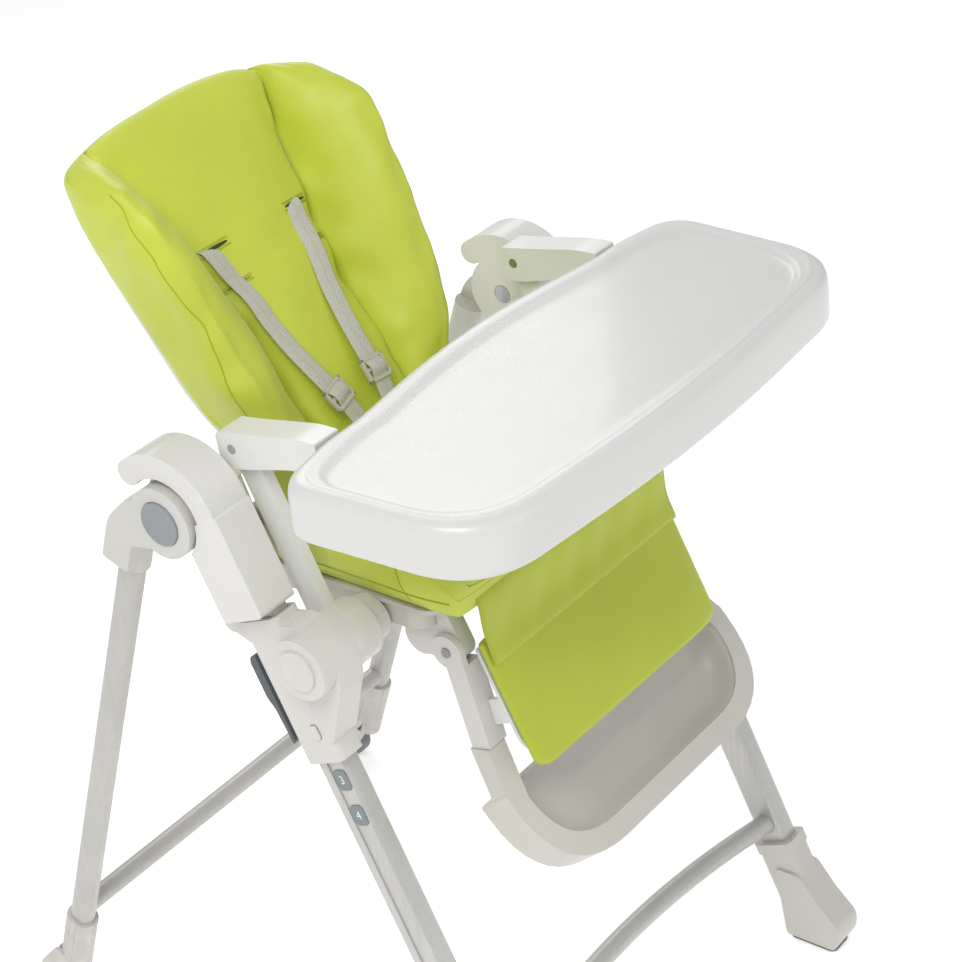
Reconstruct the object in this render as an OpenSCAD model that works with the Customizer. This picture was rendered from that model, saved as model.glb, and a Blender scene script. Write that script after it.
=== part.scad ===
// Folding baby high chair. Units are millimetres. +Z is up, the front is -Y and the
// seated child's right-hand side is -X. The origin is on the floor, midway between the
// foremost point of the front feet and the rearmost point of the wheels.

/* [Frame] */
// Distance between the centre planes of the two front legs
leg_spacing = 500; // [490:2:510]
// Distance along the floor between the front and rear leg axes
base_length = 675; // [672:1:678]
// Lean of the front legs from the vertical, in degrees
front_rake = 23.1; // [22.9:0.1:23.3]
// Lean of the rear legs from the vertical, in degrees
rear_rake = 20.5; // [20.3:0.1:20.7]
// Wall thickness of the leg tubes
tube_wall = 2; // [1.5:0.5:3]
// Diameter of the front and rear crossbars
bar_d = 22; // [18:1:24]
// How far the front crossbar bows backwards in the middle
bar_bow = 30; // [20:2:40]

/* [Wheels and feet] */
// Diameter of the rear wheels
wheel_d = 48; // [44:1:48]
// Width of the rear wheels
wheel_w = 18; // [14:1:18]
// Reach of the feet and wheels from the middle of the chair
foot_reach = 370; // [368:1:372]

/* [Height adjustment] */
// Number of seat heights
height_steps = 4; // [3:1:5]
// Distance between two seat heights, along the leg
height_pitch = 38; // [34:1:38]

/* [Seat] */
// Width of the seat pan
seat_w = 350; // [340:2:352]
// Height of the top of the seat pan
seat_z = 634; // [632:1:636]
// Thickness of the seat cushion
cushion_t = 52; // [44:2:52]
// Recline of the backrest from the vertical at rest, in degrees
back_rake = 35; // [34:0.5:36]
// Length of the backrest above its hinge
back_len = 390; // [386:2:392]

/* [Tray] */
// Width of the tray
tray_w = 610; // [600:2:610]
// Height of the tray's top face
tray_z = 822; // [821:1:824]
// Depth of the tray's skirt
tray_skirt = 50; // [46:1:52]
// Front-to-back size of the tray at its middle
tray_depth = 244; // [240:1:244]

/* [Leg rest] */
// Lean of the calf flap from the vertical at rest, in degrees
legrest_rake = 25; // [24.5:0.5:25.5]
// Lean of the leg-rest arms from the vertical at rest, in degrees
sleeve_rake = 14; // [13.5:0.5:14.5]
// Lean of the footrest from the vertical at rest, in degrees
footrest_rake = 41; // [40:0.5:42]
// Width of the calf flap
flap_w = 300; // [296:2:302]
// Width of the footrest
footrest_w = 366; // [362:2:368]

/* [Hidden] */
$fn = 48;
gap = 0.4;
pin_gap = 0.05;

leg_x = leg_spacing / 2;
base_half = base_length / 2;
leg_w = 24;
leg_d = 36;
sleeve_w = 34;
sleeve_d = 50;
leg_bottom = 60;
leg_top = 755;

hub_y = 17;
hub_z = 724;
hub_r = 36;
hub_cut_r = 38.5;
hub_in = leg_x + 8.5;
hub_out = leg_x + 36;
axle_r = 10;
button_r = 22;

head_in = leg_x - 16;
head_split = leg_x + 8;
head_out = leg_x + 30;
head_bottom = 697;
grip_r = 67;

rear_x = leg_x + 6;
rear_w = 22;
rear_d = 28;
rear_bottom = 60;
rear_top = 736;
rear_hub_offset = 47;
rear_hub_along = 790.4;
bar_z = 142;

wheel_r = wheel_d / 2;
wheel_y = foot_reach - wheel_r;
wheel_axle_r = 4;

slide_top = 690;
slide_low = 540;
barrel_in = leg_x - sleeve_w / 2;
barrel_out = leg_x + 33;
boss_off = -45;
boss_along = 644;
boss_r = 31;
neck_r = 24;

pan_front = -186;
ledge_front = -206;
pan_back = 66;
pan_low = 606;
ledge_t = 5;
pan_half = seat_w / 2;
cushion_front = -226;
cushion_back = -14;
cushion_top = seat_z + cushion_t;
cushion_half = 148;
crotch_y = -176;

arm_off = -26;
arm_along = 843;
arm_x = leg_x - 37;
strut_t = 12;
strut_w = 27;
arm_w = 32;
pivot_r = 5;

hinge_y = 50;
hinge_z = 645;
pad_face = -67;
pad_back = -24;
shell_face = -23.6;
shell_back = -13;
shell_half = 138;
slit_x = 58.5;
slit_low = 195;
slit_high = 236;
strap_w = 20;
adjuster_y = pad_face - 12;
adjuster_z = 74;

tray_half = tray_w / 2;
tray_rear = -138;
tray_t = 5;
tray_wall = 3;
rail_half = 9;
rail_low = 784;
rail_high = 806;
latch_y = -326;
latch_half = 45;

knee_y = -200;
knee_z = 584;
knee_x = leg_x - 98;
sleeve_half = 13;
sleeve_front = -16;
sleeve_back = 6;
sleeve_end = -102;
joint_r = 14.3;
flap_face = -35;
flap_back = -23;
flap_low = -139;
rim_w = 22;
rim_deep = 22;
tub_deep = 40;
tub_low = -146;
tub_r = 92;

// ---- helpers ------------------------------------------------------------------------

function unit(v) = v / norm(v);

// A closed outline with each corner replaced by a short curve of reach r.
function rounded(pts, r, n = 5) =
    let (m = len(pts))
    [for (i = [0 : m - 1])
        let (a = pts[(i + m - 1) % m], b = pts[i], c = pts[(i + 1) % m])
        let (reach = is_list(r) ? r[i] : r)
        let (p = b + unit(a - b) * reach, q = b + unit(c - b) * reach)
        for (k = [0 : n])
            let (t = k / n)
            (1 - t) * (1 - t) * p + 2 * t * (1 - t) * b + t * t * q];

// The right-hand piece as drawn, or its mirror image for the left-hand side.
module on_side(side) {
    if (side == "right") children();
    else mirror([1, 0, 0]) children();
}

module both_sides() {
    on_side("right") children();
    on_side("left") children();
}

// Extrudes a (Y, Z) outline along X, between two distances outboard on the right side.
module side_plate(inner, outer) {
    translate([-outer, 0, 0]) rotate([90, 0, 90]) linear_extrude(outer - inner) children();
}

// A cylinder along X between two distances outboard on the right side.
module cross_pin(inner, outer, y, z, r) {
    translate([-outer, y, z]) rotate([0, 90, 0]) cylinder(h = outer - inner, r = r);
}

// Frames: the local z runs up the member, and the local y points backwards.
module front_axis() { translate([0, -base_half, 0]) rotate([-front_rake, 0, 0]) children(); }
module rear_axis() { translate([0, base_half, 0]) rotate([rear_rake, 0, 0]) children(); }
module back_axis() { translate([0, hinge_y, hinge_z]) rotate([-back_rake, 0, 0]) children(); }
module knee_axis(rake = legrest_rake) {
    translate([0, knee_y, knee_z]) rotate([-rake, 0, 0]) children();
}
module footrest_axis() {
    knee_axis(sleeve_rake) translate([0, sleeve_front, sleeve_end])
        rotate([sleeve_rake - footrest_rake, 0, 0]) children();
}

// The same frames inside a (Y, Z) outline.
module front_axis_2d() { translate([-base_half, 0]) rotate(-front_rake) children(); }
module rear_axis_2d() { translate([base_half, 0]) rotate(rear_rake) children(); }

module round_rect(w, d, r) {
    square([w - 2 * r, d], center = true);
    square([w, d - 2 * r], center = true);
    for (sx = [-1, 1], sy = [-1, 1])
        translate([sx * (w / 2 - r), sy * (d / 2 - r)]) circle(r);
}

module stadium(w, d) {
    square([w, d - w], center = true);
    for (s = [-1, 1]) translate([0, s * (d - w) / 2]) circle(w / 2);
}

// A plain slab between two corners.
module block(lo, hi) { translate(lo) cube(hi - lo); }

// ---- front frame --------------------------------------------------------------------

module front_leg(side) {
    groove_w = 20;
    groove_mid = -6;
    groove_deep = 1.5;
    color("gainsboro") on_side(side) front_axis() difference() {
        translate([-leg_x, 0, leg_bottom]) linear_extrude(leg_top - leg_bottom) difference() {
            round_rect(leg_w, leg_d, 6);
            round_rect(leg_w - 2 * tube_wall, leg_d - 2 * tube_wall, 4);
            translate([-leg_w / 2, groove_mid]) square([2 * groove_deep, groove_w], center = true);
        }
        for (k = [0 : height_steps - 1])
            translate([-leg_x, leg_d / 2, 625 - k * height_pitch])
                cube([8, 10, 14], center = true);
    }
}

module grip_outline(inner_r) {
    tip_angle = 47;
    grip_mid = (grip_r + hub_cut_r + 4) / 2;
    translate([hub_y, hub_z]) {
        difference() {
            circle(grip_r, $fn = 96);
            circle(inner_r, $fn = 96);
            polygon([[0, 0], 200 * [cos(tip_angle), sin(tip_angle)], [200, -60], [60, -200],
                [-90, -200], 200 * [cos(212), sin(212)]]);
        }
        translate(grip_mid * [cos(tip_angle), sin(tip_angle)])
            circle((grip_r - hub_cut_r - 3) / 2);
    }
}

module head_sleeve_outline() {
    front_axis_2d() polygon(rounded([[-27, head_bottom], [27, head_bottom], [27, 792],
        [-27, 800]], [6, 6, 4, 4]));
}

module leg_head(side) {
    color("gainsboro") on_side(side) difference() {
        union() {
            side_plate(head_split, head_out) difference() {
                union() {
                    grip_outline(hub_cut_r + 4);
                    head_sleeve_outline();
                }
                translate([hub_y, hub_z]) circle(hub_cut_r, $fn = 96);
            }
            side_plate(head_in, head_split) {
                grip_outline(hub_cut_r - 1);
                head_sleeve_outline();
                translate([hub_y, hub_z]) circle(hub_cut_r + 2, $fn = 96);
            }
        }
        cross_pin(head_in - 1, head_out + 1, hub_y, hub_z, axle_r);
        front_axis() translate([-leg_x, 0, head_bottom - 5])
            linear_extrude(leg_top - head_bottom + 5) round_rect(leg_w, leg_d, 6);
    }
}

module front_crossbar() {
    half = leg_x - leg_w / 2 + 2;
    big_r = (half * half + bar_bow * bar_bow) / (2 * bar_bow);
    sweep = 2 * asin(half / big_r);
    y_end = -base_half + tan(front_rake) * bar_z;
    color("gainsboro") difference() {
        translate([0, y_end + bar_bow - big_r, bar_z]) rotate([0, 0, 90 - sweep / 2])
            rotate_extrude(angle = sweep, $fn = 180) translate([big_r, 0]) circle(bar_d / 2);
        both_sides() front_axis() translate([-leg_x, 0, 0])
            linear_extrude(400) square([leg_w, leg_d + 20], center = true);
    }
}

module front_foot(side) {
    outline = rounded([[-304, 6], [-364, 6], [-foot_reach, 20], [-foot_reach, 38],
        [-345, 62], [-322, 92], [-292, 92]], [6, 5, 6, 7, 10, 6, 6]);
    color("silver") on_side(side) difference() {
        union() {
            side_plate(leg_x - 20, leg_x + 20) polygon(outline);
            front_axis() translate([-leg_x, 0, 40]) linear_extrude(84) round_rect(34, 47, 8);
            front_axis() translate([-leg_x, 0, 120]) linear_extrude(12) round_rect(38, 51, 9);
        }
        front_axis() translate([-leg_x, 0, leg_bottom]) linear_extrude(200)
            round_rect(leg_w, leg_d, 6);
        cross_pin(leg_x + 17, leg_x + 21, -346, 34, 5);
    }
}

module front_foot_pads() {
    color("dimgray") both_sides() translate([-leg_x, -334, 0]) linear_extrude(6)
        round_rect(34, 58, 8);
}

module foot_screws() {
    color("silver") both_sides() cross_pin(leg_x + 17, leg_x + 19, -346, 34, 4.6);
}

module hub_axles() {
    color("silver") both_sides()
        cross_pin(head_in, hub_out - 14, hub_y, hub_z, axle_r - pin_gap);
}

module height_badges() {
    color("gray") both_sides() front_axis() for (k = [0 : height_steps - 1])
        translate([-leg_x - leg_w / 2 + 0.4, -6, 594 - k * height_pitch]) rotate([0, 90, 0])
            linear_extrude(1.1) round_rect(22, 17, 5);
}

// ---- rear frame ---------------------------------------------------------------------

module rear_leg(side) {
    color("gainsboro") on_side(side) rear_axis() translate([-rear_x, 0, rear_bottom])
        linear_extrude(rear_top - rear_bottom) difference() {
            stadium(rear_w, rear_d);
            stadium(rear_w - 2 * tube_wall, rear_d - 2 * tube_wall);
        }
}

module rear_hub(side) {
    socket_low = 688;
    socket_high = 738;
    neck = rounded([[-40, 752], [-16, 738], [-16, 702], [16, 702], [16, 752], [-3, 790],
        [-rear_hub_offset, rear_hub_along]], [4, 4, 4, 4, 12, 4, 4]);
    color("silver") on_side(side) difference() {
        union() {
            cross_pin(hub_in, hub_out, hub_y, hub_z, hub_r, $fn = 96);
            side_plate(hub_in, hub_out - 2) rear_axis_2d() polygon(neck);
            rear_axis() translate([-rear_x, 0, socket_low])
                linear_extrude(socket_high - socket_low) stadium(29, 35);
        }
        cross_pin(hub_in - 1, hub_out, hub_y, hub_z, axle_r);
        cross_pin(hub_out - 12, hub_out + 1, hub_y, hub_z, button_r + gap);
        rear_axis() translate([-rear_x, 0, socket_low - 1])
            linear_extrude(rear_top - socket_low + 1) stadium(rear_w, rear_d);
    }
}

module rear_crossbar() {
    y_bar = base_half - tan(rear_rake) * bar_z;
    color("gainsboro") difference() {
        translate([-rear_x, y_bar, bar_z]) rotate([0, 90, 0]) difference() {
            cylinder(h = 2 * rear_x, d = bar_d);
            translate([0, 0, -1]) cylinder(h = 2 * rear_x + 2, d = bar_d - 2 * tube_wall);
        }
        both_sides() rear_axis() translate([-rear_x, 0, 0]) linear_extrude(400)
            stadium(rear_w, rear_d);
    }
}

module rear_foot(side) {
    cheek = rounded([[303, 62], [332, 74], [360, 44], [364, 22], [352, 10], [338, 10],
        [320, 34]], [6, 8, 6, 6, 5, 5, 8]);
    color("silver") on_side(side) difference() {
        union() {
            rear_axis() translate([-rear_x, 0, 54]) linear_extrude(83) stadium(30, 36);
            for (s = [-1, 1])
                side_plate(rear_x + s * 12.5 - 2.5, rear_x + s * 12.5 + 2.5) polygon(cheek);
        }
        rear_axis() translate([-rear_x, 0, rear_bottom]) linear_extrude(120)
            stadium(rear_w, rear_d);
        cross_pin(rear_x - 10, rear_x + 10, wheel_y, wheel_r, wheel_r + 1.5);
        cross_pin(rear_x - 16, rear_x + 16, wheel_y, wheel_r, wheel_axle_r);
    }
}

module wheel_axles() {
    color("silver") both_sides()
        cross_pin(rear_x - 15, rear_x + 15, wheel_y, wheel_r, wheel_axle_r - pin_gap);
}

module rear_wheel(side) {
    half = wheel_w / 2;
    color("dimgray") on_side(side) translate([-rear_x, wheel_y, wheel_r]) rotate([0, 90, 0])
        rotate_extrude($fn = 72) polygon(rounded([[wheel_axle_r, -half + 1],
            [wheel_r - 12, -half + 1], [wheel_r - 8, -half + 4], [wheel_r - 6, -half],
            [wheel_r, -half + 1], [wheel_r, half - 1], [wheel_r - 6, half],
            [wheel_r - 8, half - 4], [wheel_r - 12, half - 1], [wheel_axle_r, half - 1]],
            [0, 0.5, 0.5, 0.5, 2, 2, 0.5, 0.5, 0.5, 0], 2));
}

module hub_button(side) {
    color("slategray") on_side(side) translate([-hub_out - 2, hub_y, hub_z])
        rotate([0, 90, 0]) rotate_extrude($fn = 96)
            polygon(rounded([[0, 1], [button_r - 8, 0.6], [button_r, 0], [button_r, 9],
                [0, 9]], [0, 0.3, 1, 0.3, 0], 3));
}

// ---- seat carriage ------------------------------------------------------------------

module slider(side) {
    lug = [38, 691];
    color("silver") on_side(side) difference() {
        union() {
            front_axis() translate([-leg_x, 0, slide_low])
                linear_extrude(slide_top - slide_low) round_rect(sleeve_w, sleeve_d, 8);
            side_plate(barrel_in + 0.6, leg_x + sleeve_w / 2 - 0.6) front_axis_2d() polygon(rounded([
                [-14, 560], [-25, 560], [-70, 616], [-77, 648], [-45, 679], [-14, 684]],
                [2, 3, 9, 9, 9, 2]));
            front_axis() {
                cross_pin(barrel_in, barrel_out, boss_off, boss_along, boss_r, $fn = 96);
                cross_pin(leg_x, barrel_out + 2.5, boss_off, boss_along, 20);
            }
            side_plate(leg_x - 8, leg_x + 14) front_axis_2d() {
                translate(lug) circle(10.5);
                polygon([[20, 665], [20, 689.5], [32, 689.5], lug + [10.4, -2], [26, 669]]);
            }
        }
        front_axis() {
            translate([-leg_x, 0, slide_low - 20]) linear_extrude(220)
                round_rect(leg_w + 2 * gap, leg_d + 2 * gap, 6);
            translate([-leg_x - sleeve_w / 2 - 1, -9, 573]) rotate([0, 90, 0])
                linear_extrude(4) round_rect(16, 10, 4);
        }
    }
}

module slider_barrel(side) {
    color("silver") on_side(side) front_axis() difference() {
        union() {
            cross_pin(leg_x - 50, barrel_in, boss_off, boss_along, boss_r, $fn = 96);
            cross_pin(pan_half + 4.5, leg_x - 50, boss_off, boss_along, neck_r);
            cross_pin(pan_half, pan_half + 5, boss_off, boss_along, 17);
        }
        translate([-arm_x - strut_t / 2, arm_off - strut_w / 2, 650])
            cube([strut_t, strut_w, 60]);
    }
}

module seat_base() {
    depth = pan_back - pan_front;
    ledge_depth = pan_back + 4 - ledge_front;
    wall_low = seat_z - ledge_t - pan_low;
    color("tan") difference() {
        union() {
            translate([0, ledge_front + ledge_depth / 2, seat_z - ledge_t])
                linear_extrude(ledge_t) round_rect(seat_w + 8, ledge_depth, 24);
            translate([0, pan_front + depth / 2, pan_low]) linear_extrude(wall_low)
                difference() {
                    round_rect(seat_w, depth, 22);
                    round_rect(seat_w - 8, depth - 8, 18);
                }
            both_sides() for (x = [128, 148])
                side_plate(x, x + 8) polygon([[38, seat_z], [62, seat_z], [60, hinge_z + 6],
                    [50, hinge_z + 12], [40, hinge_z + 6]]);
        }
        both_sides() cross_pin(120, 160, hinge_y, hinge_z, pivot_r);
    }
}

module carriage_tube() {
    y_tube = -base_half + boss_off * cos(front_rake) + boss_along * sin(front_rake);
    z_tube = boss_along * cos(front_rake) - boss_off * sin(front_rake);
    half = pan_half - 4;
    color("silver") translate([-half, y_tube, z_tube]) rotate([0, 90, 0]) difference() {
        cylinder(h = 2 * half, d = 20);
        translate([0, 0, -1]) cylinder(h = 2 * half + 2, d = 16);
    }
}

module seat_cushion() {
    color("yellowgreen") difference() {
        side_plate(-cushion_half, cushion_half) polygon(rounded([
            [cushion_back, seat_z + 0.3], [cushion_back, cushion_top - 8],
            [-60, cushion_top], [-200, cushion_top + 2], [cushion_front, cushion_top - 10],
            [cushion_front, seat_z + 12], [cushion_front + 12, seat_z + 0.3]],
            [6, 10, 20, 14, 12, 6, 4]));
        block([-14, crotch_y - 2, seat_z - 1], [14, crotch_y + 4, cushion_top + 9]);
    }
}

module seat_wings() {
    color("yellowgreen") both_sides() side_plate(cushion_half + gap, 178) polygon(rounded([
        [-20, seat_z + 0.3], [-24, 742], [-60, 744], [-196, 700], [-214, 682],
        [-216, seat_z + 0.3]], [10, 12, 20, 12, 10, 6]));
}

module arm_struts() {
    color("whitesmoke") both_sides() front_axis() side_plate(arm_x - strut_t / 2,
        arm_x + strut_t / 2) difference() {
            union() {
                translate([arm_off - strut_w / 2, 650]) square([strut_w, arm_along - 670]);
                polygon([[arm_off - strut_w / 2, arm_along - 20.5],
                    [arm_off + strut_w / 2, arm_along - 20.5], [arm_off + 10.6, arm_along],
                    [arm_off - 10.6, arm_along]]);
                translate([arm_off, arm_along]) circle(11);
            }
            translate([arm_off, arm_along]) circle(pivot_r);
        }
}

module knee_brackets() {
    ledge_z = seat_z - ledge_t;
    color("gainsboro") both_sides() difference() {
        side_plate(knee_x - sleeve_half, knee_x + 5) {
            translate([knee_y, knee_z]) circle(joint_r);
            translate([knee_y + 35, knee_z + 2]) circle(19);
            polygon([[knee_y - 13, knee_z + 6], [knee_y + 5, ledge_z], [pan_front, ledge_z],
                [pan_front, pan_low], [knee_y + 50, pan_low], [knee_y + 50, knee_z + 14],
                [knee_y + 27, knee_z - 15], [knee_y + 5, knee_z - 13]]);
        }
        cross_pin(knee_x - 20, knee_x + 10, knee_y, knee_z, pivot_r);
    }
}

module backrest_hinge_pin() {
    color("silver") both_sides() cross_pin(126, 158, hinge_y, hinge_z, pivot_r - pin_gap);
}

module recline_quadrants() {
    color("silver") both_sides() side_plate(160, 163) translate([hinge_y, hinge_z])
        difference() {
            union() {
                circle(30);
                for (a = [100 : 10 : 170]) rotate(a - 90) translate([30, 0])
                    square([8, 3], center = true);
            }
            circle(pivot_r);
            translate([-60, seat_z - hinge_z - 60]) square([120, 60]);
        }
}

module carriage_pivots() {
    color("silver") both_sides() {
        front_axis() cross_pin(arm_x - arm_w / 2, arm_x + arm_w / 2, arm_off, arm_along,
            pivot_r - pin_gap);
        cross_pin(knee_x - sleeve_half, knee_x + sleeve_half + 1.5, knee_y, knee_z,
            pivot_r - pin_gap);
    }
}

module waist_straps() {
    strap_t = 1.5;
    color("silver") {
        both_sides() block([-cushion_half, -84, cushion_top + 3],
            [-28, -60, cushion_top + 3 + strap_t]);
        block([-12, crotch_y, cushion_top + 3], [12, -94, cushion_top + 3 + strap_t]);
        block([-12, crotch_y, seat_z], [12, crotch_y + strap_t, cushion_top + 3 + strap_t]);
    }
}

module harness_buckle() {
    color("silver") translate([0, -74, cushion_top + 3]) linear_extrude(13)
        round_rect(54, 36, 10);
}

module height_lever(side) {
    back = sleeve_d / 2 + gap;
    color("dimgray") on_side(side) front_axis() side_plate(leg_x - 2, leg_x + 17)
        polygon(rounded([[back, 566], [back + 4, 562], [back + 6, 600], [back + 10, 612],
            [back + 10, 650], [back + 6, 656], [back, 656]], [1, 1, 3, 4, 3, 2, 1]));
}

module lock_button(side) {
    color("gainsboro") on_side(side) front_axis()
        translate([-leg_x - sleeve_w / 2 - 2.5, -9, 573]) rotate([0, 90, 0])
            linear_extrude(2.8) round_rect(15, 9, 3.5);
}

// ---- arms and tray ------------------------------------------------------------------

module armrest(side) {
    beam = rounded([[-12, 800], [-16, 766], [-36, 766], [-104, 784], [-134, rail_low],
        [-134, 817.5], [-112, 817.5], [-40, 804]], [8, 6, 8, 10, 1, 2, 10, 14]);
    color("whitesmoke") on_side(side) difference() {
        union() {
            side_plate(arm_x - arm_w / 2, arm_x + arm_w / 2) polygon(beam);
            side_plate(arm_x - rail_half, arm_x + rail_half)
                polygon([[-133, rail_low], [-133, rail_high], [-306, rail_high],
                    [-306, rail_low]]);
        }
        front_axis() cross_pin(arm_x - 30, arm_x + 30, arm_off, arm_along, pivot_r);
        block([-arm_x - strut_t / 2 - gap, -64, 700], [-arm_x + strut_t / 2 + gap, 10, 797.2]);
    }
}

// The tray's outline, stepped in from its edge. The front and the rear bulge, and the
// rear corners are cut back beside the arms.
function tray_outline(inset) =
    let (side = tray_half - inset)
    let (front = tray_rear - tray_depth + inset, rear = tray_rear - inset)
    rounded([[-side, rear - 14], [10 - side, front + 18], [0, front - 6], [side - 10, front + 18],
        [side, rear - 14], [side - 75, rear], [side - 115, rear], [0, rear + 26],
        [115 - side, rear], [75 - side, rear]],
        [34, 72, 150, 72, 34, 20, 8, 120, 8, 20], 8);

module tray() {
    groove_deep = 2;
    plate_low = tray_z - tray_t;
    color("white") difference() {
        translate([0, 0, tray_z - tray_skirt]) linear_extrude(tray_skirt)
            polygon(tray_outline(0));
        difference() {
            translate([0, 0, tray_z - tray_skirt - 1]) linear_extrude(tray_skirt - tray_t + 1)
                polygon(tray_outline(tray_wall));
            both_sides() difference() {
                block([-arm_x - 14, -332, 779], [-arm_x + 14, tray_rear - 6, tray_z]);
                block([-arm_x - rail_half - gap, -400, rail_low - gap],
                    [-arm_x + rail_half + gap, -100, rail_high + gap]);
            }
            both_sides() {
                block([-latch_half - 4, latch_y - 20, plate_low - 13],
                    [-latch_half - gap, latch_y + 20, tray_z]);
                block([-latch_half - 2, latch_y - 20, plate_low - 13],
                    [-latch_half + 4, latch_y + 20, plate_low - 9]);
            }
        }
        both_sides() block([-arm_x - 20, tray_rear - 10, 700],
            [-arm_x + 20, tray_rear + 20, plate_low]);
        translate([0, 0, tray_z - groove_deep]) linear_extrude(10) difference() {
            polygon(tray_outline(16));
            polygon(tray_outline(24));
            translate([-400, -600]) square([800, 290]);
        }
    }
}

module tray_latch() {
    color("lightgray") translate([0, latch_y, tray_z - tray_t]) {
        translate([0, 0, -9 + gap]) linear_extrude(9 - 2 * gap)
            square([2 * latch_half, 30], center = true);
        translate([0, 0, -22]) linear_extrude(16) difference() {
            round_rect(2 * latch_half - 14, 28, 8);
            round_rect(2 * latch_half - 24, 18, 4);
        }
    }
}

module tray_cover() {
    color("azure", 0.4) {
        translate([0, 0, tray_z + 0.4]) linear_extrude(2.2) polygon(tray_outline(14));
        translate([0, 0, tray_z + 2.6]) linear_extrude(5) difference() {
            polygon(tray_outline(14));
            polygon(tray_outline(17));
        }
    }
}

// ---- backrest -----------------------------------------------------------------------

module strap_slits() {
    for (s = [-1, 1], z = [slit_low, slit_high]) translate([s * slit_x, z])
        square([38, 7], center = true);
}

module backrest_shell() {
    color("whitesmoke") back_axis() difference() {
        union() {
            translate([0, shell_back, 0]) rotate([90, 0, 0])
                linear_extrude(shell_back - shell_face) difference() {
                    polygon(rounded([[-112, 12], [-shell_half, 120], [-shell_half, 300],
                        [-90, back_len - 18], [90, back_len - 18], [shell_half, 300],
                        [shell_half, 120], [112, 12]], [12, 30, 34, 34, 34, 34, 30, 12]));
                    strap_slits();
                }
            both_sides() for (x = [114, 140]) {
                side_plate(x, x + 7) {
                    circle(10);
                    polygon([[-shell_back - 36, 44], [-10, 0], [7, 0], [shell_back, 60],
                        [shell_face, 60]]);
                }
            }
            both_sides() block([-147, shell_face, 40], [-100, shell_back, 60]);
        }
        both_sides() cross_pin(100, 160, 0, 0, pivot_r);
    }
}

module backrest_pad() {
    color("yellowgreen") back_axis() translate([0, pad_back, 0]) rotate([90, 0, 0])
        linear_extrude(pad_back - pad_face) difference() {
            polygon(rounded([[-100, 14], [-124, 140], [-132, 330], [-100, back_len - 4],
                [0, back_len + 4], [100, back_len - 4], [132, 330], [124, 140],
                [100, 14]], [14, 30, 24, 24, 60, 24, 24, 30, 14]));
            strap_slits();
        }
}

// One slice of a side wing: its root beside the pad and its free edge in front.
module wing_slice(along, root, edge, reach) {
    translate([0, 0, along]) linear_extrude(2) polygon(rounded([[-root, pad_back],
        [-root, pad_face], [-edge + 18, reach + 6], [-edge + 4, reach], [-edge, reach + 22],
        [-edge + 6, pad_face + 4], [-root - 22, pad_back - 6]], 4, 3));
}

module backrest_wings() {
    color("yellowgreen") both_sides() back_axis() hull() {
        wing_slice(112, 124.5, 152, -104);
        wing_slice(240, 133, 162, -142);
        wing_slice(318, 134, 164, -138);
        wing_slice(362, 136, 156, -100);
    }
}

module shoulder_straps() {
    strap_t = 1.6;
    slit_left = -slit_x - strap_w / 2;
    color("silver") both_sides() back_axis() {
        hull() {
            translate([slit_left, pad_face - 3, slit_high - 2])
                cube([strap_w, strap_t, strap_t]);
            translate([-44, adjuster_y - strap_t / 2, adjuster_z + 17])
                cube([strap_w, strap_t, strap_t]);
        }
        block([slit_left, pad_face - 3, slit_high - 2],
            [slit_left + strap_w, shell_back + 2, slit_high - 2 + strap_t]);
        block([slit_left, shell_back, slit_high - 14],
            [slit_left + strap_w, shell_back + 2, slit_high + 10]);
    }
}

module strap_adjusters() {
    color("silver") both_sides() back_axis() translate([-34, adjuster_y, adjuster_z])
        cube([30, 7, 34], center = true);
}

module recline_handle() {
    color("dimgray") back_axis() translate([0, shell_back + 10.4, 300]) rotate([90, 0, 0])
        linear_extrude(10) difference() {
            round_rect(110, 40, 14);
            translate([0, -3]) round_rect(78, 18, 8);
        }
}

// ---- leg rest and footrest ----------------------------------------------------------

module sleeve_block(top) {
    block([-knee_x - sleeve_half, sleeve_front, sleeve_end],
        [-knee_x + sleeve_half, sleeve_back, top]);
}

module legrest_arms() {
    plate_r = 17;
    color("gainsboro") both_sides() knee_axis(sleeve_rake) difference() {
        union() {
            side_plate(knee_x + 5.4, knee_x + sleeve_half) {
                circle(plate_r);
                translate([sleeve_front, -40]) square([sleeve_back - sleeve_front, 40]);
            }
            sleeve_block(-joint_r - 0.8);
        }
        cross_pin(knee_x - 20, knee_x + 20, 0, 0, pivot_r);
        block([-knee_x - 10, sleeve_front + 3, sleeve_end - 5],
            [-knee_x + 10, sleeve_back - 3, -28]);
        block([-knee_x - 5.4, 0, -58.4], [-knee_x + 5.4, 20, -39.6]);
    }
}

module legrest_panel() {
    half = flap_w / 2 - 1;
    low = flap_low - 3;
    color("whitesmoke") {
        knee_axis() translate([0, flap_back + 4.4, 0]) rotate([90, 0, 0]) linear_extrude(4)
            polygon(rounded([[-half, -8], [half, -8], [half, low + 30], [half - 30, low],
                [30 - half, low], [-half, low + 30]], [3, 3, 14, 14, 14, 14]));
        both_sides() difference() {
            knee_axis() block([-half, flap_back + 4.4, -86], [-knee_x + 9, 10, -60]);
            knee_axis(sleeve_rake) sleeve_block(0);
            knee_axis(sleeve_rake) block([-200, sleeve_front + 2, -120], [-100, 40, 20]);
        }
    }
}

module legrest_pad() {
    half = flap_w / 2;
    color("yellowgreen") knee_axis() translate([0, flap_back, 0]) rotate([90, 0, 0])
        linear_extrude(flap_back - flap_face) polygon(rounded([[-half, -2], [half, -2],
            [half, flap_low], [-half, flap_low]], [6, 6, 24, 24]));
}

module legrest_button(side) {
    color("dimgray") on_side(side) knee_axis(sleeve_rake)
        block([-knee_x - 5, sleeve_back - 1, -58], [-knee_x + 5, sleeve_back + 4, -40]);
}

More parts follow.
